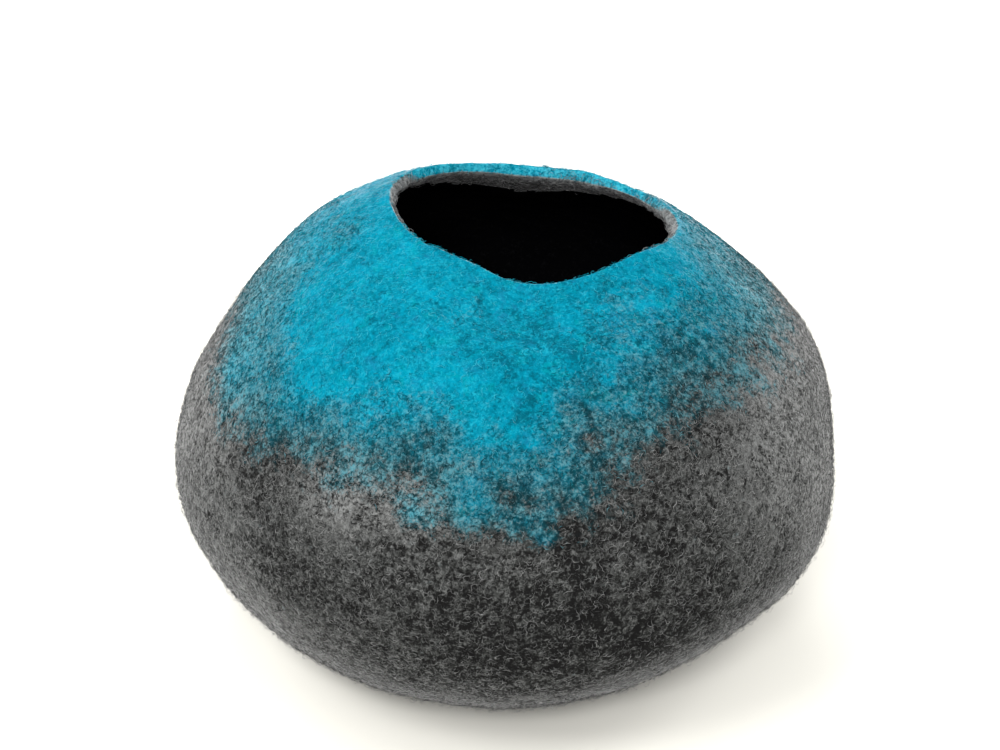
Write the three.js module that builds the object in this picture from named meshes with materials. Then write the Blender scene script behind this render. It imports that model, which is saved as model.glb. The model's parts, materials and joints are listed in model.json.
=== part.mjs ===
// A felt cat cave: one seamless hollow shell of thick wool felt, with a single round mouth in its top.
// Millimetres, +Z up, the front of the cave towards -Y. The origin is on the floor, under the box's middle.
// The shell is a closed surface that runs from the middle of the base up the outside, over the rounded
// edge of the mouth, and back down the inside.
import * as THREE from "three";
import { ParametricGeometry } from "three/addons/geometries/ParametricGeometry.js";

const feltThickness = 9;
const edgeBulge = 3; // how far the cut edge of the mouth rounds out
const edgeSquareness = 0.6; // 1 rounds the cut edge fully, and less leaves it squarer
const floorRounding = 5; // how softly the felt turns up where it leaves the floor
const aroundSteps = 64;
const outsideSteps = 26;
const edgeSteps = 8;
const insideSteps = 22;

// Sections of the outside, from under the base to the mouth. Each is an oval whose middle stands `right` and
// `back` of the origin, and whose right edge lies `dropRight` lower than its middle, its left edge as much
// higher. A height below 0 is pressed flat by the floor.
const sections = [
  { height: -34, halfWidth: 0, halfDepth: 0, right: 2, back: 0, dropRight: 0 },
  { height: -22, halfWidth: 89, halfDepth: 90, right: 2, back: 0, dropRight: 0 },
  { height: 2, halfWidth: 150, halfDepth: 152, right: 2, back: 0, dropRight: 0 },
  { height: 36, halfWidth: 207, halfDepth: 200, right: 7, back: 0, dropRight: -4 },
  { height: 86, halfWidth: 246, halfDepth: 236, right: 8, back: 0, dropRight: -4 },
  { height: 142, halfWidth: 258, halfDepth: 247, right: 2, back: 0, dropRight: 0 },
  { height: 200, halfWidth: 248, halfDepth: 241, right: 6, back: 2, dropRight: 2 },
  { height: 250, halfWidth: 219, halfDepth: 214, right: 13, back: 4, dropRight: 6 },
  { height: 294, halfWidth: 177, halfDepth: 173, right: 13, back: 8, dropRight: 9 },
  { height: 320, halfWidth: 139, halfDepth: 132, right: 18, back: 12, dropRight: 11 },
  { height: 335, halfWidth: 111, halfDepth: 101, right: 25, back: 16, dropRight: 12 },
];

// Soft pushes that leave the felt uneven: each moves the felt round the point (x, y, z) by (toX, toY, toZ),
// fading out over `reach`.
const pushes = [
  { what: "sag in the front of the mouth", x: 16, y: -95, z: 318, toX: 0, toY: -8, toZ: -21, reach: 56 },
  { what: "mouth's front edge, left", x: -70, y: -60, z: 330, toX: -5, toY: -5, toZ: -6, reach: 36 },
  { what: "mouth's front edge, right", x: 108, y: -56, z: 322, toX: 3, toY: 0, toZ: 5, reach: 42 },
  { what: "dip behind the mouth", x: 14, y: 168, z: 312, toX: 0, toY: -2, toZ: -12, reach: 50 },
  { what: "fuller crown, left of the mouth", x: -128, y: 50, z: 305, toX: -3, toY: 0, toZ: 4, reach: 50 },
  { what: "flatter low front, right", x: 150, y: -150, z: 20, toX: -5, toY: 4, toZ: 1, reach: 80 },
  { what: "fuller low right side", x: 225, y: -60, z: 60, toX: 4, toY: -1, toZ: -1, reach: 60 },
  { what: "flatter low front, left", x: -130, y: -150, z: 10, toX: 2, toY: 2, toZ: 0, reach: 70 },
  { what: "dent in the left of the crown", x: -150, y: -60, z: 285, toX: 2, toY: 2, toZ: -5, reach: 60 },
  { what: "fuller back, right", x: 140, y: 170, z: 180, toX: 4, toY: 5, toZ: 0, reach: 90 },
  { what: "dent in the back, left", x: -110, y: 190, z: 170, toX: 3, toY: -6, toZ: 0, reach: 80 },
];

const sizeAlong = new THREE.CatmullRomCurve3(
  sections.map((s) => new THREE.Vector3(s.halfWidth, s.halfDepth, s.height)),
);
const middleAlong = new THREE.CatmullRomCurve3(
  sections.map((s) => new THREE.Vector3(s.right, s.back, s.dropRight)),
);

// The height of a point once the floor has pressed up what is below it: exactly 0 over the flat of the base.
function pressedByFloor(height) {
  if (height <= -floorRounding) return 0;
  if (height >= floorRounding) return height;
  return (height + floorRounding) ** 2 / (4 * floorRounding);
}

// A point of the outside, `along` from 0 at the middle of the base to 1 at the mouth.
function outside(turn, along) {
  const angle = turn * 2 * Math.PI;
  const size = sizeAlong.getPoint(along);
  const middle = middleAlong.getPoint(along);
  const point = new THREE.Vector3(
    middle.x + size.x * Math.cos(angle),
    middle.y + size.y * Math.sin(angle),
    size.z - middle.z * Math.cos(angle),
  );
  const moved = point.clone();
  for (const p of pushes) {
    const away = Math.hypot(point.x - p.x, point.y - p.y, point.z - p.z) / p.reach;
    const share = Math.exp(-away * away);
    moved.x += p.toX * share;
    moved.y += p.toY * share;
    moved.z += p.toZ * share;
  }
  moved.z = pressedByFloor(moved.z);
  return moved;
}

// The direction square to the felt, pointing out, and the direction along it towards the mouth.
function directions(turn, along) {
  const step = 1e-3;
  const near = Math.min(Math.max(along, 2 * step), 1 - step);
  const up = outside(turn, near + step).sub(outside(turn, near - step)).normalize();
  const round = outside(turn + step, near).sub(outside(turn - step, near)).normalize();
  return { out: round.cross(up).normalize(), up };
}

// A point of the whole closed surface: the outside, then the rounded edge of the mouth, then the inside.
function felt(turn, whole, target) {
  const step = whole * (outsideSteps + edgeSteps + insideSteps);
  const turned = turn % 1;
  if (step <= outsideSteps) {
    return target.copy(outside(turned, step / outsideSteps));
  }
  if (step < outsideSteps + edgeSteps) {
    const { out, up } = directions(turned, 1);
    const over = (Math.PI * (step - outsideSteps)) / edgeSteps;
    const across = Math.sign(Math.cos(over)) * Math.abs(Math.cos(over)) ** edgeSquareness;
    return target
      .copy(outside(turned, 1))
      .addScaledVector(out, (feltThickness / 2) * (across - 1))
      .addScaledVector(up, edgeBulge * Math.sin(over) ** edgeSquareness);
  }
  const along = Math.max(0, 1 - (step - outsideSteps - edgeSteps) / insideSteps);
  const { out } = directions(turned, along);
  return target.copy(outside(turned, along)).addScaledVector(out, -feltThickness);
}

// The shell's box is centred on the origin, whatever its lean.
const shellShape = new ParametricGeometry(felt, aroundSteps, outsideSteps + edgeSteps + insideSteps);
shellShape.computeBoundingBox();
const middle = shellShape.boundingBox.getCenter(new THREE.Vector3());
shellShape.translate(-middle.x, -middle.y, 0);

const shell = new THREE.Mesh(
  shellShape,
  new THREE.MeshStandardMaterial({ color: 0x4a7a86, roughness: 0.95, metalness: 0 }),
);
shell.name = "felt_shell";

const catCave = new THREE.Group();
catCave.add(shell);

export default catCave;
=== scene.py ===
# Felt cat cave: one seamless shell of thick wet-felted wool. Turquoise wool lies over the crown and thins
# out into heathered charcoal, and loose curly fibres stand a little proud all over.
import json
import math

import bpy
import bmesh
import numpy as np
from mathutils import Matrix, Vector, kdtree, noise

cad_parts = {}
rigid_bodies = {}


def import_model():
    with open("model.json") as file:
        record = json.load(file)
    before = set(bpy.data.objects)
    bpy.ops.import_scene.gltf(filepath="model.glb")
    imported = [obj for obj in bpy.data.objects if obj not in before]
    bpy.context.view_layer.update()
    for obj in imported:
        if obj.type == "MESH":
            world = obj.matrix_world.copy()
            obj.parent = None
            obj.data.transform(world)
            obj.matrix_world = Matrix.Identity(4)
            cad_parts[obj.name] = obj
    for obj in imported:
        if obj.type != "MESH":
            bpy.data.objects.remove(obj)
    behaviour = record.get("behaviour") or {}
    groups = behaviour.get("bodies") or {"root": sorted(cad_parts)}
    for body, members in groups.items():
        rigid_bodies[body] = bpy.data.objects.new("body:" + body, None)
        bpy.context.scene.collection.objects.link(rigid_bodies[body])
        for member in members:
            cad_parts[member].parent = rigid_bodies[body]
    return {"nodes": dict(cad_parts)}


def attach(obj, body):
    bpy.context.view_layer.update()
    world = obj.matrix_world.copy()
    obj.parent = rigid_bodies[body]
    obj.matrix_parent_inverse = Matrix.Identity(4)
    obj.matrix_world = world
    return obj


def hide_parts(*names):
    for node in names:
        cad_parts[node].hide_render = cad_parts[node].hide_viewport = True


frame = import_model()
scene = bpy.context.scene


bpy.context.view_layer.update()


# node trees are built with these

def addNode(tree, kind, inputs=None, **settings):
    made = tree.nodes.new(kind)
    for name, value in settings.items():
        setattr(made, name, value)
    for key, value in (inputs or {}).items():
        if isinstance(value, bpy.types.NodeSocket):
            tree.links.new(value, made.inputs[key])
        else:
            made.inputs[key].default_value = value
    return made


def maths(tree, operation, a, b=0.0):
    return addNode(tree, "ShaderNodeMath", {0: a, 1: b}, operation=operation).outputs[0]


def vectorMaths(tree, operation, a, b):
    return addNode(tree, "ShaderNodeVectorMath", {0: a, 1: b}, operation=operation).outputs[0]


def softStep(tree, value, low, high):
    made = addNode(tree, "ShaderNodeMapRange", {"Value": value, "From Min": low, "From Max": high},
                   interpolation_type="SMOOTHSTEP")
    return made.outputs["Result"]


def noiseOf(tree, place, size, detail=2.0, roughness=0.5, distortion=0.0):
    # size is how far apart the lumps are, in metres
    made = addNode(tree, "ShaderNodeTexNoise", {
        "Vector": place, "Scale": 1 / size, "Detail": detail,
        "Roughness": roughness, "Distortion": distortion,
    })
    return made.outputs["Fac"]


def swing(tree, value, amount):
    # a noise made to run from -amount/2 to amount/2
    return maths(tree, "MULTIPLY", maths(tree, "SUBTRACT", value, 0.5), amount)


def layerOf(tree, place, layer):
    return swing(tree, noiseOf(tree, place, layer["size"], layer["detail"], layer["roughness"],
                               layer["distortion"]), layer["amount"])


def total(tree, values):
    added = values[0]
    for value in values[1:]:
        added = maths(tree, "ADD", added, value)
    return added


def mixColours(tree, share, a, b, way="MIX"):
    made = addNode(tree, "ShaderNodeMix", {0: share, 6: a, 7: b}, data_type="RGBA", blend_type=way)
    return made.outputs[2]


blueWool = {
    # by direction in degrees from the front towards the right: the height in metres at which the last
    # blue wool ends, and the height above which it covers the grey
    "edge": [
        {"turn": -180, "last": 0.262, "full": 0.335},
        {"turn": -140, "last": 0.256, "full": 0.338},
        {"turn": -108, "last": 0.262, "full": 0.345},
        {"turn": -88, "last": 0.249, "full": 0.348},
        {"turn": -77, "last": 0.241, "full": 0.345},
        {"turn": -57, "last": 0.217, "full": 0.290},
        {"turn": -44, "last": 0.222, "full": 0.276},
        {"turn": -31, "last": 0.224, "full": 0.288},
        {"turn": -21, "last": 0.224, "full": 0.290},
        {"turn": -14, "last": 0.225, "full": 0.287},
        {"turn": -4, "last": 0.219, "full": 0.280},
        {"turn": 6, "last": 0.211, "full": 0.278},
        {"turn": 12, "last": 0.212, "full": 0.300},
        {"turn": 18, "last": 0.224, "full": 0.306},
        {"turn": 30, "last": 0.248, "full": 0.316},
        {"turn": 48, "last": 0.256, "full": 0.325},
        {"turn": 68, "last": 0.256, "full": 0.334},
        {"turn": 92, "last": 0.262, "full": 0.346},
        {"turn": 140, "last": 0.250, "full": 0.342},
        {"turn": 180, "last": 0.262, "full": 0.335},
    ],
    # tufts of blue below the edge, and thin places in it
    "tufts": [
        {"x": -0.058, "y": -0.226, "z": 0.211, "reach": 0.013, "more": 0.45},
        {"x": -0.020, "y": -0.228, "z": 0.219, "reach": 0.018, "more": 0.42},
        {"x": 0.008, "y": -0.234, "z": 0.212, "reach": 0.010, "more": 0.30},
        {"x": 0.026, "y": -0.237, "z": 0.202, "reach": 0.009, "more": 0.50},
        {"x": 0.004, "y": -0.228, "z": 0.232, "reach": 0.014, "more": -0.20},
        {"x": -0.195, "y": -0.080, "z": 0.248, "reach": 0.024, "more": 0.30},
        {"x": -0.160, "y": -0.105, "z": 0.262, "reach": 0.026, "more": -0.20},
        {"x": 0.055, "y": -0.190, "z": 0.262, "reach": 0.024, "more": -0.25},
        {"x": -0.022, "y": -0.125, "z": 0.312, "reach": 0.034, "more": -0.22},
        {"x": -0.110, "y": -0.020, "z": 0.328, "reach": 0.020, "more": -0.20},
        {"x": 0.085, "y": -0.120, "z": 0.308, "reach": 0.040, "more": -0.12},
    ],
    # how far over the edge of the mouth the blue reaches: under -0.5 it stops short of the cut edge, and
    # over 0.3 it covers the whole of it
    "lip": [
        {"turn": -180, "over": 0.30},
        {"turn": -128, "over": 0.25},
        {"turn": -112, "over": -0.50},
        {"turn": -78, "over": -0.82},
        {"turn": -40, "over": 0.60},
        {"turn": 40, "over": 0.60},
        {"turn": 65, "over": -0.50},
        {"turn": 100, "over": -0.60},
        {"turn": 122, "over": 0.20},
        {"turn": 180, "over": 0.30},
    ],
    "mouthMiddle": (0.022, 0.008),
    "lipReach": 0.020,      # how near the cut edge the blue is trimmed to those rows
    "lipFade": 2.5,         # and how fast it ends there
    "coverRange": (-0.4, 1.05),
    "mapRange": (-0.6, 1.25),
    # drifts, wisps and hairs, in which the blue thins out below where it covers the grey
    "thinning": [
        {"size": 0.036, "detail": 2, "roughness": 0.5, "distortion": 0.0, "amount": 0.55},
        {"size": 0.012, "detail": 3, "roughness": 0.6, "distortion": 0.6, "amount": 0.78},
        {"size": 0.003, "detail": 2, "roughness": 0.6, "distortion": 1.2, "amount": 0.36},
    ],
    "thinned": {"From Min": -0.12, "From Max": 0.92},
}

paleWool = [
    # patches where the wool is paler or darker. Those just under the blue at the front left are pale fibre
    # fulled into the charcoal; the rest are partly the wool's tone and partly painted light and painted
    # shade:
    # lighter at the sides, the shoulders, the lower left and low in front above the floor, darker low in the
    # middle, at the lower right and on the blue at its centre and right
    {"x": -0.110, "y": -0.208, "z": 0.216, "reach": 0.035, "palerAndPaintedLight": 0.72},
    {"x": -0.055, "y": -0.224, "z": 0.216, "reach": 0.029, "palerAndPaintedLight": 0.72},
    {"x": -0.010, "y": -0.236, "z": 0.195, "reach": 0.030, "palerAndPaintedLight": 0.40},
    # from here on partly painted light and painted shade
    {"x": -0.225, "y": -0.070, "z": 0.200, "reach": 0.090, "palerAndPaintedLight": 0.75},
    {"x": -0.130, "y": -0.200, "z": 0.145, "reach": 0.040, "palerAndPaintedLight": -0.35},
    {"x": -0.150, "y": -0.165, "z": 0.100, "reach": 0.065, "palerAndPaintedLight": 0.60},
    {"x": 0.000, "y": -0.246, "z": 0.140, "reach": 0.075, "palerAndPaintedLight": -0.80},
    {"x": 0.100, "y": -0.222, "z": 0.095, "reach": 0.075, "palerAndPaintedLight": -0.80},
    {"x": 0.200, "y": -0.140, "z": 0.210, "reach": 0.080, "palerAndPaintedLight": 0.62},
    {"x": 0.240, "y": -0.040, "z": 0.200, "reach": 0.090, "palerAndPaintedLight": 0.90},
    {"x": 0.020, "y": -0.205, "z": 0.060, "reach": 0.060, "palerAndPaintedLight": 0.35},
    {"x": 0.190, "y": 0.010, "z": 0.280, "reach": 0.080, "palerAndPaintedLight": 0.90},
    {"x": -0.185, "y": 0.010, "z": 0.280, "reach": 0.080, "palerAndPaintedLight": 0.80},
    {"x": 0.030, "y": -0.150, "z": 0.295, "reach": 0.055, "palerAndPaintedLight": -0.60},
    {"x": 0.115, "y": -0.115, "z": 0.290, "reach": 0.050, "palerAndPaintedLight": -0.35},
]


def clamp(value, low, high):
    return min(max(value, low), high)


def turnOf(x, y):
    # direction in degrees from the front towards the right
    return math.degrees(math.atan2(x, -y))


def between(rows, turn, name):
    # the named column at a direction, eased from row to row
    for before, after in zip(rows, rows[1:]):
        if turn <= after["turn"]:
            break
    share = (turn - before["turn"]) / (after["turn"] - before["turn"])
    share = share * share * (3 - 2 * share)
    return before[name] + share * (after[name] - before[name])


def spotsAt(place, spots, name):
    added = 0.0
    for spot in spots:
        away = (place - Vector((spot["x"], spot["y"], spot["z"]))).length / spot["reach"]
        added += spot[name] * math.exp(-away * away)
    return added


def blueAt(place):
    turn = turnOf(place.x, place.y)
    last = between(blueWool["edge"], turn, "last")
    full = between(blueWool["edge"], turn, "full")
    cover = (place.z - last) / (full - last)
    return clamp(cover, *blueWool["coverRange"]) + spotsAt(place, blueWool["tufts"], "more")


def dyeShare(tree, place, blue):
    # 0 where the wool is grey and 1 where it is blue
    share = total(tree, [blue, *[layerOf(tree, place, layer) for layer in blueWool["thinning"]]])
    return addNode(tree, "ShaderNodeMapRange", {"Value": share, **blueWool["thinned"]}).outputs[0]


feltShell = {
    "mergeWithin": 0.00002,
    "joinAngle": 3.1,       # in radians, so nearly every pair of triangles becomes a quad
    "subdivisions": 2,
    "lumpSize": 0.050,
    "lumpHeight": 0.0018,
    "pebbleSize": 0.011,
    "pebbleHeight": 0.0009,
    "pebbleShift": Vector((7, 3, 5)),
    "flatBase": 0.002,      # how high the base stays flat
    "lumpsFadeIn": 0.012,   # and over what height the lumps come in above it
    "middleOfRoom": Vector((0.006, 0.004, 0.150)),
    # the wool faces the middle of the room by 1 inside and -1 outside, and the cut edge is between
    "cutEdgeFacing": 0.3,
    "cutEdgeAbove": 0.28,
    "lipPaintedLightReach": 0.018,       # how far from the cut edge the wool is painted paler, as painted light where the lip lies in shade
    "lipPaintedLightFacing": -0.7,
    "mouthEdge": 0.014,     # and how far from it short hairs stand out over the room
    "mouthEdgeFacing": -0.5,
    "paintedShadeStarts": 0.019,    # how far inside the mouth the painted shade starts
    "paintedShadeFull": 0.032,    # and how far in it is full, near black
    "ragged": 0.006,        # how much that distance wanders
}
woolMapNames = ("blueWool", "insideMouth", "paleWool", "mouthEdge")


def smoothShell():
    # the frame's shell as quads, subdivided
    node = frame["nodes"]["felt_shell"]
    bm = bmesh.new()
    bm.from_mesh(node.data)
    bmesh.ops.remove_doubles(bm, verts=bm.verts, dist=feltShell["mergeWithin"])
    bmesh.ops.join_triangles(bm, faces=bm.faces, angle_face_threshold=feltShell["joinAngle"],
                             angle_shape_threshold=feltShell["joinAngle"])
    mesh = bpy.data.meshes.new("felt_cave")
    bm.to_mesh(mesh)
    bm.free()
    shell = bpy.data.objects.new("felt_cave", mesh)
    scene.collection.objects.link(shell)
    finer = shell.modifiers.new("finer", "SUBSURF")
    finer.levels = finer.render_levels = feltShell["subdivisions"]
    evaluated = shell.evaluated_get(bpy.context.evaluated_depsgraph_get())
    smooth = bpy.data.meshes.new_from_object(evaluated)
    shell.modifiers.clear()
    shell.data = smooth
    bpy.data.meshes.remove(mesh)
    return shell


def cutEdge(places, facing):
    edge = kdtree.KDTree(len(places))
    for i, (p, f) in enumerate(zip(places, facing)):
        if abs(f) < feltShell["cutEdgeFacing"] and p.z > feltShell["cutEdgeAbove"]:
            edge.insert(p, i)
    edge.balance()
    return edge


def nearness(away, reach):
    return max(0.0, 1 - away / reach)


def woolMaps(places, facing):
    # for each point: how blue, how deep in the painted shade inside the mouth, how pale with the painted
    # light and shade, and how near the cut edge it is
    edge = cutEdge(places, facing)
    mouthX, mouthY = blueWool["mouthMiddle"]
    start, full = feltShell["paintedShadeStarts"], feltShell["paintedShadeFull"]
    rows = []
    for p, f in zip(places, facing):
        away = edge.find(p)[2]
        blue = blueAt(p)
        if away < blueWool["lipReach"] or f > 0:
            limit = between(blueWool["lip"], turnOf(p.x - mouthX, p.y - mouthY), "over")
            blue = min(blue, 1.0) - blueWool["lipFade"] * max(0, f - limit)
        # how deep the point lies in the painted shade inside the mouth, along a ragged edge
        wander = noise.noise(p / feltShell["pebbleSize"]) * feltShell["ragged"]
        inside = clamp((away + wander - start) / (full - start), 0, 1) if f > 0 else 0.0
        # near the cut edge the wool is painted paler: painted light where the lip lies in shade
        lipPaintedLight = nearness(away, feltShell["lipPaintedLightReach"]) if f > feltShell["lipPaintedLightFacing"] else 0.0
        paleAndPaintedLight = spotsAt(p, paleWool, "palerAndPaintedLight") + lipPaintedLight
        atMouth = nearness(away, feltShell["mouthEdge"]) if f > feltShell["mouthEdgeFacing"] else 0.0
        rows.append((clamp(blue, *blueWool["mapRange"]), inside, paleAndPaintedLight, atMouth))
    return dict(zip(woolMapNames, zip(*rows)))


def lumpsAt(p):
    lump = noise.noise(p / feltShell["lumpSize"]) * feltShell["lumpHeight"]
    pebble = noise.noise(p / feltShell["pebbleSize"] + feltShell["pebbleShift"]) * feltShell["pebbleHeight"]
    return lump + pebble


def makeShell():
    shell = smoothShell()
    mesh = shell.data
    places = [v.co.copy() for v in mesh.vertices]
    normals = [v.normal.copy() for v in mesh.vertices]
    middle = feltShell["middleOfRoom"]
    facing = [n.dot((middle - p).normalized()) for p, n in zip(places, normals)]
    maps = woolMaps(places, facing)
    for name, values in maps.items():
        kept = mesh.attributes.new(name, "FLOAT", "POINT")
        kept.data.foreach_set("value", np.array(values, np.float32))
    for vertex, p, n in zip(mesh.vertices, places, normals):
        aboveBase = clamp((p.z - feltShell["flatBase"]) / feltShell["lumpsFadeIn"], 0, 1)
        vertex.co = p + n * lumpsAt(p) * aboveBase
    mesh.polygons.foreach_set("use_smooth", [True] * len(mesh.polygons))
    mesh.materials.clear()
    mesh.materials.append(makeFelt())
    mesh.materials.append(makePaintedShadeFelt())
    # faces fully in the painted shade inside the mouth take the near-black felt
    for face in mesh.polygons:
        face.material_index = int(all(maps["insideMouth"][v] >= 1 for v in face.vertices))
    return shell


feltFinish = {
    "pit": (0.007, 0.007, 0.007, 1),
    "charcoal": (0.012, 0.0123, 0.012, 1),
    "grey": (0.037, 0.0385, 0.0375, 1),
    "paleGrey": (0.185, 0.188, 0.186, 1),
    "greyThread": (0.120, 0.123, 0.122, 1),
    "paleThread": (0.250, 0.255, 0.252, 1),
    "tealThread": (0.085, 0.190, 0.215, 1),
    "blueThread": (0.012, 0.270, 0.350, 1),
    # the cut edge and the band just inside the mouth: their grey painted pale, as painted light where the
    # lip lies in shade
    "lipGreyPaintedLight": (0.215, 0.235, 0.238, 1),
    "deepBlue": (0.0008, 0.062, 0.092, 1),
    "blue": (0.0005, 0.102, 0.152, 1),
    "brightBlue": (0.0005, 0.174, 0.256, 1),
    "greenBlue": (0.0005, 0.170, 0.200, 1),
    "slateBlue": (0.0060, 0.110, 0.195, 1),
    # paler blue on the lip: painted light over the blue wool
    "lipBluePaintedLight": (0.060, 0.400, 0.500, 1),
    "tint": (0.54, 1.65, 1.98, 1),
    "darkTeal": (0.002, 0.028, 0.036, 1),
    "paleTeal": (0.055, 0.180, 0.215, 1),
    # near black inside the mouth, threads too: painted shade over the charcoal wool, darker than the wool
    # itself
    "darkWoolPaintedShade": (0.002, 0.002, 0.0025, 1),
    "darkThreadPaintedShade": (0.007, 0.007, 0.008, 1),
    "roughness": 1.0,
    "sheen": 0.38,
    "sheenRoughness": 0.25,
    "relief": 0.0008,
    "reliefStrength": 0.7,
    # unevenness of the wool, from broad to fine: size in metres, and how much of the tone it moves
    "layers": {
        "broad": {"size": 0.045, "detail": 2, "roughness": 0.5, "distortion": 0.0, "amount": 0.30},
        "clump": {"size": 0.0085, "detail": 2, "roughness": 0.6, "distortion": 0.5, "amount": 0.68},
        "knots": {"size": 0.0036, "detail": 2, "roughness": 0.6, "distortion": 0.8, "amount": 0.90},
        "grain": {"size": 0.0017, "detail": 1, "roughness": 0.5, "distortion": 0.4, "amount": 0.60},
        "shades": {"size": 0.020, "detail": 4, "roughness": 0.7, "distortion": 0.6, "amount": 1.2},
        "hues": {"size": 0.013, "detail": 3, "roughness": 0.6, "distortion": 0.6, "amount": 1.0},
        "strandDye": {"size": 0.005, "detail": 1, "roughness": 0.5, "distortion": 0.0, "amount": 0.7},
    },
    "hueShift": (0.4, 1.9, 0.2),
    "strandDyeShift": (1.3, 0.7, 2.1),
    # where each effect starts and where it is full
    "steps": {
        "lit": (0.34, 0.74),
        "pits": (0.48, 0.24),
        "blueLit": (0.20, 0.80),
        "bluePits": (0.38, 0.14),
        "greener": (0.04, 0.22),
        "bluer": (-0.04, -0.22),
        "palest": (0.10, 1.00),
        "allPale": (0.60, 1.00),
        "atMouth": (0.05, 0.60),
        "lipGreyPaintedLightShare": (0.10, 0.60),
        "lipPaintedLight": (0.35, 1.20),
        "lipBluePaintedLightShare": (0.30, 0.70),
        "tinted": (0.0, 0.45),
        "covered": (0.15, 0.95),
        "meeting": (0.07, 0.22),
        "shaded": (0.52, 0.26),
        "flecked": (0.54, 0.78),
        "strandsShow": (0.28, 0.66),
        "tealStrands": (0.10, 0.45),
        "blueStrands": (0.55, 0.95),
        "darkStrandsShow": (0.30, 0.65),
    },
    # and how strong it is at most
    "shares": {
        "palest": 0.80,
        "shallowPits": 0.70,
        "hue": 0.60,
        "bluePits": 0.80,
        "lipBluePaintedLight": 0.70,
        "shaded": 0.48,
        "flecked": 0.55,
        "strands": 0.80,
        "strandsLostInBlue": 0.25,
        "strandRelief": 0.20,
    },
    # the pale map holds painted light and shade as well, and this lift paints them into the grey and, more
    # strongly, into the blue
    "mostPaler": 0.35,      # pale patches lift the tone only up to here,
    "palerLift": 0.17,      # by this much,
    "palerBlueLift": 1.6,   # and the blue by this many times that
    "blueCalm": 0.74,       # the blue's tone varies by this share of the grey's,
    "blueCalmBase": 0.13,   # about the same middle
    # thin curly strands: how far apart, how wide, and where in the noise they are cut
    "strands": [
        {"spacing": 0.0050, "width": 0.045, "shift": 0.0},
        {"spacing": 0.0034, "width": 0.060, "shift": 0.31},
        {"spacing": 0.0070, "width": 0.034, "shift": 0.57},
        {"spacing": 0.0042, "width": 0.050, "shift": 0.83},
    ],
    "strandCurl": {"detail": 1.6, "roughness": 0.55, "distortion": 0.9},
    "strandBreaks": (0.44, 0.58),
    "strandBreakSize": 0.9,
}


def strandsOf(tree, place, strand):
    # the lines along which a soft noise crosses its middle value, broken into lengths
    shift = strand["shift"]
    moved = vectorMaths(tree, "ADD", place, (shift, -shift, shift * 0.7))
    wander = noiseOf(tree, moved, strand["spacing"], **feltFinish["strandCurl"])
    across = maths(tree, "ABSOLUTE", maths(tree, "SUBTRACT", wander, 0.5))
    line = maths(tree, "SUBTRACT", 1.0, softStep(tree, across, 0.0, strand["width"]))
    breaks = noiseOf(tree, moved, strand["spacing"] * feltFinish["strandBreakSize"], 1.0)
    return maths(tree, "MULTIPLY", line, softStep(tree, breaks, *feltFinish["strandBreaks"]))


def woolMaterial(name, roughness, sheen):
    wool = bpy.data.materials.new(name)
    wool.use_nodes = True
    shader = wool.node_tree.nodes["Principled BSDF"]
    shader.inputs["Roughness"].default_value = roughness
    shader.inputs["Specular IOR Level"].default_value = 0.0
    shader.inputs["Sheen Weight"].default_value = sheen
    shader.inputs["Sheen Roughness"].default_value = feltFinish["sheenRoughness"]
    return wool, shader


def setFelt(tree, shader, colour, height):
    tree.links.new(colour, shader.inputs["Base Color"])
    bump = addNode(tree, "ShaderNodeBump", {
        "Strength": feltFinish["reliefStrength"], "Distance": feltFinish["relief"], "Height": height,
    })
    tree.links.new(bump.outputs["Normal"], shader.inputs["Normal"])


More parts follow.
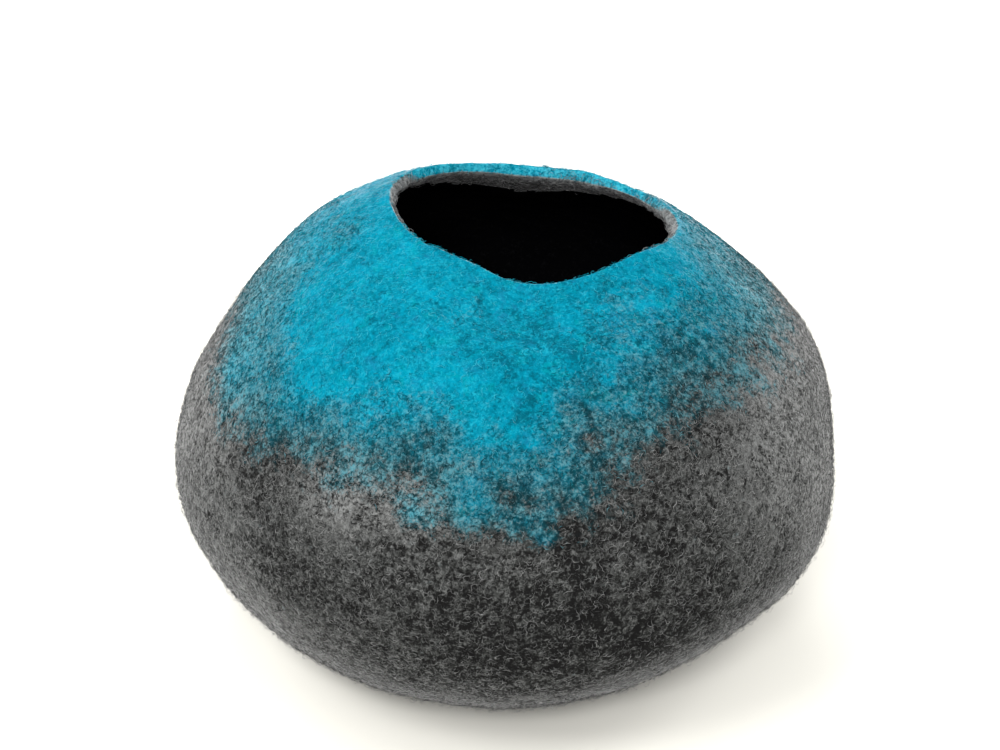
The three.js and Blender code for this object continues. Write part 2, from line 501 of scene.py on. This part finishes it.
def makeFelt():
    finish, shares = feltFinish, feltFinish["shares"]
    felt, shader = woolMaterial("matted wool felt", finish["roughness"], finish["sheen"])
    tree = felt.node_tree

    def times(a, b):
        return maths(tree, "MULTIPLY", a, b)

    def step(value, name):
        return softStep(tree, value, *finish["steps"][name])

    def layer(name, at):
        return layerOf(tree, at, finish["layers"][name])

    def mixed(share, a, b):
        return mixColours(tree, share, a, b)

    place = addNode(tree, "ShaderNodeTexCoord").outputs["Object"]
    blue, inside, palerAndPaintedLight, nearMouth = [
        addNode(tree, "ShaderNodeAttribute", attribute_name=name).outputs["Fac"] for name in woolMapNames
    ]
    dyed = dyeShare(tree, place, blue)

    tone = total(tree, [0.5, *[layer(name, place) for name in ("broad", "clump", "knots", "grain")]])
    # the lift paints the pale map's painted light and shade into the grey and the blue tones
    lift = times(maths(tree, "MINIMUM", palerAndPaintedLight, finish["mostPaler"]), finish["palerLift"])
    greyTone = maths(tree, "ADD", tone, lift)
    calmer = maths(tree, "ADD", finish["blueCalmBase"], times(tone, finish["blueCalm"]))
    blueTone = total(tree, [calmer, layer("shades", place), times(lift, finish["palerBlueLift"])])

    # grey wool: charcoal and paler fibre, with dark pits, and painted lighter at the mouth's edge as painted
    # light over its grey
    palest = times(step(palerAndPaintedLight, "palest"), shares["palest"])
    allPale = step(palerAndPaintedLight, "allPale")
    dimGrey = mixed(allPale, finish["charcoal"], finish["grey"])
    litGrey = mixed(palest, finish["grey"], finish["paleGrey"])
    grey = mixed(step(greyTone, "lit"), dimGrey, litGrey)
    shallow = maths(tree, "SUBTRACT", 1.0, times(allPale, shares["shallowPits"]))
    grey = mixed(times(step(greyTone, "pits"), shallow), grey, finish["pit"])
    grey = mixed(times(step(nearMouth, "atMouth"), step(tone, "lipGreyPaintedLightShare")), grey, finish["lipGreyPaintedLight"])

    # blue wool: its shades and hues, its pits, and the lip painted paler as painted light
    turquoise = mixed(step(blueTone, "blueLit"), finish["blue"], finish["brightBlue"])
    hue = layer("hues", vectorMaths(tree, "ADD", place, finish["hueShift"]))
    turquoise = mixed(times(step(hue, "greener"), shares["hue"]), turquoise, finish["greenBlue"])
    turquoise = mixed(times(step(hue, "bluer"), shares["hue"]), turquoise, finish["slateBlue"])
    turquoise = mixed(times(step(blueTone, "bluePits"), shares["bluePits"]), turquoise, finish["deepBlue"])
    lipBluePaintedLightShare = times(step(palerAndPaintedLight, "lipPaintedLight"), step(tone, "lipBluePaintedLightShare"))
    turquoise = mixed(times(lipBluePaintedLightShare, shares["lipBluePaintedLight"]), turquoise, finish["lipBluePaintedLight"])

    # thin blue over grey only tints it, and where they meet the dark and the pale fibre take the dye
    tinted = mixColours(tree, step(dyed, "tinted"), grey, finish["tint"], "MULTIPLY")
    colour = mixed(step(dyed, "covered"), tinted, turquoise)
    meeting = step(times(dyed, maths(tree, "SUBTRACT", 1.0, dyed)), "meeting")
    shaded = times(meeting, step(tone, "shaded"))
    colour = mixed(times(shaded, shares["shaded"]), colour, finish["darkTeal"])
    flecked = times(meeting, step(greyTone, "flecked"))
    colour = mixed(times(flecked, shares["flecked"]), colour, finish["paleTeal"])

    # single strands lie over it all
    strands = strandsOf(tree, place, finish["strands"][0])
    for strand in finish["strands"][1:]:
        strands = maths(tree, "MAXIMUM", strands, strandsOf(tree, place, strand))
    strands = times(strands, step(greyTone, "strandsShow"))
    strandDye = layer("strandDye", vectorMaths(tree, "ADD", place, finish["strandDyeShift"]))
    strandDyed = maths(tree, "ADD", dyed, strandDye)
    strandColour = mixed(palest, finish["greyThread"], finish["paleThread"])
    strandColour = mixed(step(strandDyed, "tealStrands"), strandColour, finish["tealThread"])
    strandColour = mixed(step(strandDyed, "blueStrands"), strandColour, finish["blueThread"])
    shown = maths(tree, "SUBTRACT", shares["strands"], times(dyed, shares["strandsLostInBlue"]))
    colour = mixed(times(strands, shown), colour, strandColour)
    # deep in the mouth the colour turns near black: painted shade
    colour = mixed(inside, colour, finish["darkWoolPaintedShade"])
    setFelt(tree, shader, colour, maths(tree, "ADD", tone, times(strands, shares["strandRelief"])))
    return felt


def makePaintedShadeFelt():
    # the same wool in the depth of the room, painted near black as painted shade, with no sheen
    finish = feltFinish
    felt, shader = woolMaterial("dark felt inside", finish["roughness"], 0.0)
    tree = felt.node_tree
    place = addNode(tree, "ShaderNodeTexCoord").outputs["Object"]
    layer = finish["layers"]["clump"]
    clump = noiseOf(tree, place, layer["size"], layer["detail"], layer["roughness"], layer["distortion"])
    strands = strandsOf(tree, place, finish["strands"][0])
    shown = maths(tree, "MULTIPLY", strands, softStep(tree, clump, *finish["steps"]["darkStrandsShow"]))
    setFelt(tree, shader, mixColours(tree, shown, finish["darkWoolPaintedShade"], finish["darkThreadPaintedShade"]), clump)
    return felt


shell = makeShell()
print("shell", len(shell.data.polygons), "faces")


# loose curly fibres

fuzzGrowth = {
    "roughness": 0.9,
    # how dyed the felt is where a fibre of each kind starts, and where it grows in full number
    "allBlue": (0.75, 0.98),
    "allGrey": (0.25, 0.02),
    "moreBlue": (0.35, 0.65),
    "outside": (0.9, 0.2),          # none grow in the dark of the room
    "aboveFloor": (0.006, 0.012),   # and none so low that it could dip under the floor
    "patches": {"size": 0.011, "detail": 2, "roughness": 0.6, "distortion": 0.5, "amount": 6.0},
    "fewest": 0.15,                 # share of the fibres that stays in the thinnest patch
    "scales": (0.55, 1.55),
}


def plainWool(name, colour, sheen):
    wool, shader = woolMaterial(name, fuzzGrowth["roughness"], sheen)
    shader.inputs["Base Color"].default_value = (*colour, 1)
    return wool


def curlMesh(name, bends, length, thick, arch):
    # a closed three-sided fibre with pointed ends, lying in its own XY plane; bends are its turns in degrees
    heading, point, line = 0.0, Vector((0, 0, 0)), [Vector((0, 0, 0))]
    for bend in bends:
        heading += math.radians(bend)
        point = point + Vector((math.cos(heading), math.sin(heading), 0)) * length / len(bends)
        line.append(point.copy())
    centre = sum(line, Vector()) / len(line)
    last = len(line) - 1
    corners, faces = [], []
    for i, p in enumerate(line):
        p = p - centre
        p.z = arch * math.sin(math.pi * i / last)
        if i in (0, last):
            corners.append(p)
            continue
        along = (line[i + 1] - line[i - 1]).normalized()
        side = Vector((-along.y, along.x, 0))
        for k in range(3):
            turn = 2 * math.pi * k / 3
            corners.append(p + (side * math.sin(turn) + Vector((0, 0, math.cos(turn)))) * thick / 2)
    rings = last - 1
    for k in range(3):
        n = (k + 1) % 3
        faces.append((0, 1 + n, 1 + k))
        for r in range(rings - 1):
            a, b = 1 + 3 * r, 4 + 3 * r
            faces.append((a + k, a + n, b + n, b + k))
        e = 1 + 3 * (rings - 1)
        faces.append((e + k, e + n, len(corners) - 1))
    mesh = bpy.data.meshes.new(name)
    mesh.from_pydata([tuple(c) for c in corners], [], faces)
    bm = bmesh.new()
    bm.from_mesh(mesh)
    bmesh.ops.recalc_face_normals(bm, faces=bm.faces)
    bm.to_mesh(mesh)
    bm.free()
    mesh.polygons.foreach_set("use_smooth", [True] * len(mesh.polygons))
    return mesh


def curlSet(name, settings):
    kept = bpy.data.collections.new(name)
    scene.collection.children.link(kept)
    for i, bends in enumerate(settings["bends"]):
        mesh = curlMesh(f"{name}_{i}", bends, settings["length"], settings["thick"], settings["arch"])
        kept.objects.link(bpy.data.objects.new(f"{name}_{i}", mesh))
    return kept


def randomValue(tree, kind, low, high, seed, offset):
    made = addNode(tree, "FunctionNodeRandomValue", data_type=kind)
    sockets = [s for s in made.inputs if s.enabled and s.name in ("Min", "Max")]
    sockets[0].default_value, sockets[1].default_value = low, high
    tree.links.new(maths(tree, "ADD", seed, offset), [s for s in made.inputs if s.name == "Seed"][0])
    return [s for s in made.outputs if s.enabled][0]


def fuzzShare(tree, dye, dyed, nearMouth):
    # 0 to 1: how much of the felt's surface grows fibres of this dye
    allBlue = softStep(tree, dyed, *fuzzGrowth["allBlue"])
    allGrey = softStep(tree, dyed, *fuzzGrowth["allGrey"])
    mixed = maths(tree, "SUBTRACT", 1.0, maths(tree, "ADD", allBlue, allGrey))
    moreBlue = softStep(tree, dyed, *fuzzGrowth["moreBlue"])
    return {
        "blue": allBlue,
        "mostly blue": maths(tree, "MULTIPLY", mixed, moreBlue),
        "mostly grey": maths(tree, "MULTIPLY", mixed, maths(tree, "SUBTRACT", 1.0, moreBlue)),
        "grey": allGrey,
        "grey at the mouth": maths(tree, "MULTIPLY", nearMouth, maths(tree, "SUBTRACT", 1.0, allBlue)),
    }[dye]


def fuzzTree(name, curls, wools, dye):
    # scatters curls over the felt; dye is the wool that they grow from
    tree = bpy.data.node_groups.new(name, "GeometryNodeTree")
    face = tree.interface
    face.new_socket("Shell", in_out="INPUT", socket_type="NodeSocketGeometry")
    for wanted in ("Fibres per square metre", "Patchiness", "Lift", "Tilt"):
        face.new_socket(wanted, in_out="INPUT", socket_type="NodeSocketFloat")
    face.new_socket("Seed", in_out="INPUT", socket_type="NodeSocketInt")
    face.new_socket("Fuzz", in_out="OUTPUT", socket_type="NodeSocketGeometry")
    given = addNode(tree, "NodeGroupInput").outputs
    place = addNode(tree, "GeometryNodeInputPosition").outputs[0]
    seed = given["Seed"]

    def ownAttribute(wanted):
        made = addNode(tree, "GeometryNodeInputNamedAttribute", {"Name": wanted}, data_type="FLOAT")
        return made.outputs["Attribute"]

    # how many grow, place by place
    blue, inside, paleAndPaintedLight, nearMouth = [ownAttribute(wanted) for wanted in woolMapNames]
    share = fuzzShare(tree, dye, dyeShare(tree, place, blue), nearMouth)
    outside = softStep(tree, inside, *fuzzGrowth["outside"])
    height = addNode(tree, "ShaderNodeSeparateXYZ", {0: place}).outputs["Z"]
    aboveFloor = softStep(tree, height, *fuzzGrowth["aboveFloor"])
    patches = maths(tree, "MULTIPLY", layerOf(tree, place, fuzzGrowth["patches"]), given["Patchiness"])
    palerAndPaintedLight = maths(tree, "MULTIPLY", paleAndPaintedLight, given["Patchiness"])
    patches = maths(tree, "MAXIMUM", total(tree, [1.0, patches, palerAndPaintedLight]), fuzzGrowth["fewest"])
    density = maths(tree, "MULTIPLY", given["Fibres per square metre"], share)
    for factor in (outside, aboveFloor, patches):
        density = maths(tree, "MULTIPLY", density, factor)
    points = addNode(tree, "GeometryNodeDistributePointsOnFaces",
                     {"Mesh": given["Shell"], "Density": density, "Seed": seed})

    # each is lifted a little, tilted and spun
    up = addNode(tree, "ShaderNodeVectorMath", {
        0: points.outputs["Normal"],
        "Scale": maths(tree, "MULTIPLY", given["Lift"], randomValue(tree, "FLOAT", 0.0, 1.0, seed, 1)),
    }, operation="SCALE")
    lifted = addNode(tree, "GeometryNodeSetPosition",
                     {"Geometry": points.outputs["Points"], "Offset": up.outputs[0]})
    tilt = maths(tree, "MULTIPLY", given["Tilt"], randomValue(tree, "FLOAT", -1.0, 1.0, seed, 2))
    lean = maths(tree, "MULTIPLY", given["Tilt"], randomValue(tree, "FLOAT", -1.0, 1.0, seed, 3))
    spin = randomValue(tree, "FLOAT", 0.0, 2 * math.pi, seed, 4)
    byEuler = addNode(tree, "ShaderNodeCombineXYZ", {0: tilt, 1: lean, 2: spin})
    turned = addNode(tree, "FunctionNodeRotateRotation", {
        "Rotation": points.outputs["Rotation"],
        "Rotate By": addNode(tree, "FunctionNodeEulerToRotation", {0: byEuler.outputs[0]}).outputs[0],
    }, rotation_space="LOCAL")
    shapes = addNode(tree, "GeometryNodeCollectionInfo",
                     {"Collection": curls, "Separate Children": True, "Reset Children": True})
    laid = addNode(tree, "GeometryNodeInstanceOnPoints", {
        "Points": lifted.outputs[0],
        "Instance": shapes.outputs[0],
        "Pick Instance": True,
        "Instance Index": randomValue(tree, "INT", 0, len(curls.objects) - 1, seed, 5),
        "Rotation": turned.outputs[0],
        "Scale": randomValue(tree, "FLOAT", *fuzzGrowth["scales"], seed, 6),
    })

    # each fibre takes one of the wools
    tone = randomValue(tree, "FLOAT", 0.0, 1.0, seed, 7)
    kept = addNode(tree, "GeometryNodeStoreNamedAttribute",
                   {"Geometry": laid.outputs[0], "Name": "tone", "Value": tone},
                   data_type="FLOAT", domain="INSTANCE")
    real = addNode(tree, "GeometryNodeRealizeInstances", {"Geometry": kept.outputs[0]}).outputs[0]
    for i, wool in enumerate(wools):
        above = maths(tree, "GREATER_THAN", ownAttribute("tone"), i / len(wools) - 1e-4)
        real = addNode(tree, "GeometryNodeSetMaterial",
                       {"Geometry": real, "Selection": above, "Material": wool}).outputs[0]
    addNode(tree, "NodeGroupOutput", {"Fuzz": real})
    return tree


def makeFuzz(name, settings):
    curls = curlSet(name + "Curls", settings)
    wools = []
    for i, colour in enumerate(settings["colours"]):
        wools.append(plainWool(f"{name} {i + 1}", colour, settings["sheen"]))
    tree = fuzzTree(name, curls, wools, settings["dye"])
    carrier = bpy.data.objects.new(name, shell.data.copy())
    scene.collection.objects.link(carrier)
    growing = carrier.modifiers.new("fuzz", "NODES")
    growing.node_group = tree
    for socket in tree.interface.items_tree:
        if socket.name in settings["inputs"]:
            growing[socket.identifier] = settings["inputs"][socket.name]
    evaluated = carrier.evaluated_get(bpy.context.evaluated_depsgraph_get())
    grown = bpy.data.meshes.new_from_object(evaluated)
    carrier.modifiers.clear()
    carrier.data = grown
    for wool in wools:
        if wool.name not in grown.materials:
            grown.materials.append(wool)
    for o in list(curls.objects):
        bpy.data.objects.remove(o)
    bpy.data.collections.remove(curls)
    print(name, sum(len(p.vertices) - 2 for p in grown.polygons), "triangles")
    return carrier


fleckBends = [(0, 45), (0, -60), (0, 80), (0, -30), (0, 110), (0, -95)]
longBends = [(0, 40, 50, -30), (0, -30, 50, 60), (0, 60, 70, -20), (0, 25, -50, 30), (0, 70, 60, 70)]
fuzz = {
    "blueFuzz": {
        "dye": "blue",
        "sheen": 0.0,
        "bends": fleckBends,
        "length": 0.0042,
        "thick": 0.00026,
        "arch": 0.0001,
        "colours": [
            (0.0005, 0.150, 0.225), (0.0005, 0.190, 0.280), (0.001, 0.230, 0.340),
        ],
        "inputs": {
            "Fibres per square metre": 60000.0,
            "Patchiness": 0.3,
            "Lift": 0.0001,
            "Tilt": 0.05,
            "Seed": 11,
        },
    },
    "paleBlueFuzz": {
        "dye": "blue",
        "sheen": 0.0,
        "bends": longBends,
        "length": 0.0065,
        "thick": 0.00018,
        "arch": 0.0006,
        "colours": [
            (0.001, 0.180, 0.250), (0.006, 0.240, 0.320), (0.020, 0.290, 0.370),
            (0.05, 0.36, 0.45),
        ],
        "inputs": {
            "Fibres per square metre": 60000.0,
            "Patchiness": 1.3,
            "Lift": 0.0006,
            "Tilt": 0.25,
            "Seed": 12,
        },
    },
    "tealFuzz": {
        "dye": "mostly blue",
        "sheen": 0.0,
        "bends": fleckBends,
        "length": 0.0046,
        "thick": 0.00042,
        "arch": 0.0004,
        "colours": [
            (0.002, 0.062, 0.088), (0.005, 0.115, 0.155), (0.018, 0.175, 0.228),
            (0.05, 0.24, 0.30),
        ],
        "inputs": {
            "Fibres per square metre": 130000.0,
            "Patchiness": 0.7,
            "Lift": 0.0005,
            "Tilt": 0.16,
            "Seed": 17,
        },
    },
    "dustyFuzz": {
        "dye": "mostly grey",
        "sheen": 0.0,
        "bends": fleckBends,
        "length": 0.0046,
        "thick": 0.00044,
        "arch": 0.0004,
        "colours": [
            (0.006, 0.032, 0.040), (0.018, 0.066, 0.080), (0.040, 0.118, 0.142),
            (0.08, 0.185, 0.215),
        ],
        "inputs": {
            "Fibres per square metre": 130000.0,
            "Patchiness": 0.8,
            "Lift": 0.0005,
            "Tilt": 0.16,
            "Seed": 18,
        },
    },
    "greyFuzz": {
        "dye": "grey",
        "sheen": 0.15,
        "bends": fleckBends,
        "length": 0.0042,
        "thick": 0.00040,
        "arch": 0.0001,
        "colours": [
            (0.010, 0.010, 0.010), (0.024, 0.024, 0.024), (0.040, 0.041, 0.041),
            (0.070, 0.071, 0.071),
        ],
        "inputs": {
            "Fibres per square metre": 40000.0,
            "Patchiness": 0.5,
            "Lift": 0.0001,
            "Tilt": 0.08,
            "Seed": 13,
        },
    },
    "paleGreyFuzz": {
        "dye": "grey",
        "sheen": 0.15,
        "bends": fleckBends,
        "length": 0.0048,
        "thick": 0.00035,
        "arch": 0.0005,
        "colours": [
            (0.048, 0.049, 0.049), (0.095, 0.096, 0.096), (0.200, 0.202, 0.201),
        ],
        "inputs": {
            "Fibres per square metre": 63000.0,
            "Patchiness": 1.0,
            "Lift": 0.0008,
            "Tilt": 0.18,
            "Seed": 14,
        },
    },
    "wispyGreyFuzz": {
        "dye": "grey",
        "sheen": 0.2,
        "bends": longBends,
        "length": 0.0072,
        "thick": 0.00018,
        "arch": 0.0012,
        "colours": [
            (0.070, 0.071, 0.071), (0.120, 0.121, 0.121), (0.190, 0.191, 0.190),
        ],
        "inputs": {
            "Fibres per square metre": 17000.0,
            "Patchiness": 1.1,
            "Lift": 0.0011,
            "Tilt": 0.28,
            "Seed": 16,
        },
    },
    "strayHairs": {
        "dye": "grey",
        "sheen": 0.3,
        "bends": longBends,
        "length": 0.0065,
        "thick": 0.00014,
        "arch": 0.0021,
        "colours": [
            (0.16, 0.161, 0.161), (0.28, 0.282, 0.281),
        ],
        "inputs": {
            "Fibres per square metre": 16000.0,
            "Patchiness": 0.3,
            "Lift": 0.0014,
            "Tilt": 0.55,
            "Seed": 15,
        },
    },
    "mouthHairs": {
        "dye": "grey at the mouth",
        "sheen": 0.2,
        "bends": longBends,
        "length": 0.0065,
        "thick": 0.00022,
        "arch": 0.0012,
        "colours": [
            (0.070, 0.073, 0.073), (0.130, 0.135, 0.136), (0.24, 0.25, 0.25),
        ],
        "inputs": {
            "Fibres per square metre": 120000.0,
            "Patchiness": 0.3,
            "Lift": 0.0006,
            "Tilt": 0.45,
            "Seed": 19,
        },
    },
}
fuzzPieces = [makeFuzz(name, settings) for name, settings in fuzz.items()]


for piece in [shell, *fuzzPieces]:
    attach(piece, "root")
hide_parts("felt_shell")


studio = {
    "floorSize": 12.0,
    "floorHeight": -0.0004,
    "floorColour": (0.71, 0.695, 0.64, 1),
    "floorRoughness": 0.7,
    "floorShine": 0.2,
    "world": 0.95,
    "lamps": [
        {"name": "left", "at": (-1.4, -1.1, 2.1), "size": 0.9, "watts": 33},
        {"name": "front", "at": (-0.2, -2.0, 1.6), "size": 0.9, "watts": 44},
        {"name": "right", "at": (1.6, -0.1, 2.1), "size": 0.9, "watts": 12},
        {"name": "backLeft", "at": (-2.0, 0.9, 1.7), "size": 1.4, "watts": 30},
        {"name": "backRight", "at": (2.2, 1.1, 1.0), "size": 1.4, "watts": 24},
        {"name": "backdrop", "at": (0.0, 2.3, 1.9), "size": 1.4, "watts": 50, "aim": (0.0, 2.4, 0.0)},
    ],
    "aim": (0.0, 0.0, 0.15),
}


def aimAt(place, target):
    return (Vector(target) - Vector(place)).to_track_quat("-Z", "Y").to_euler()


def makeFloor():
    half, height = studio["floorSize"] / 2, studio["floorHeight"]
    mesh = bpy.data.meshes.new("floor")
    corners = [(-half, -half, height), (half, -half, height), (half, half, height), (-half, half, height)]
    mesh.from_pydata(corners, [], [(0, 1, 2, 3)])
    floor = bpy.data.objects.new("floor", mesh)
    scene.collection.objects.link(floor)
    paint = bpy.data.materials.new("white floor")
    paint.use_nodes = True
    shader = paint.node_tree.nodes["Principled BSDF"]
    shader.inputs["Base Color"].default_value = studio["floorColour"]
    shader.inputs["Roughness"].default_value = studio["floorRoughness"]
    shader.inputs["Specular IOR Level"].default_value = studio["floorShine"]
    mesh.materials.append(paint)


def makeLight():
    world = bpy.data.worlds.new("studio")
    scene.world = world
    world.use_nodes = True
    back = world.node_tree.nodes["Background"]
    back.inputs["Color"].default_value = (1, 1, 1, 1)
    back.inputs["Strength"].default_value = studio["world"]
    for lamp in studio["lamps"]:
        light = bpy.data.lights.new(lamp["name"], "AREA")
        light.shape = "DISK"
        light.size = lamp["size"]
        light.energy = lamp["watts"]
        holder = bpy.data.objects.new(lamp["name"], light)
        holder.location = lamp["at"]
        holder.rotation_euler = aimAt(lamp["at"], lamp.get("aim", studio["aim"]))
        scene.collection.objects.link(holder)
    scene.view_settings.view_transform = "Standard"


camera = {
    "aim": (-0.003, 0.0, 0.202),
    "down": 27.0,           # degrees
    "distance": 1.25,
    "sensor": 36,           # millimetres
    "focalInFrames": 1.6,
}


def makeCamera():
    lens = bpy.data.cameras.new("camera")
    lens.sensor_width = camera["sensor"]
    lens.lens = camera["sensor"] * camera["focalInFrames"]
    holder = bpy.data.objects.new("camera", lens)
    down = math.radians(camera["down"])
    back = Vector((0, -math.cos(down), math.sin(down))) * camera["distance"]
    holder.location = Vector(camera["aim"]) + back
    holder.rotation_euler = aimAt(holder.location, camera["aim"])
    scene.collection.objects.link(holder)
    scene.camera = holder


makeFloor()
makeLight()
makeCamera()
print("studio and camera made")
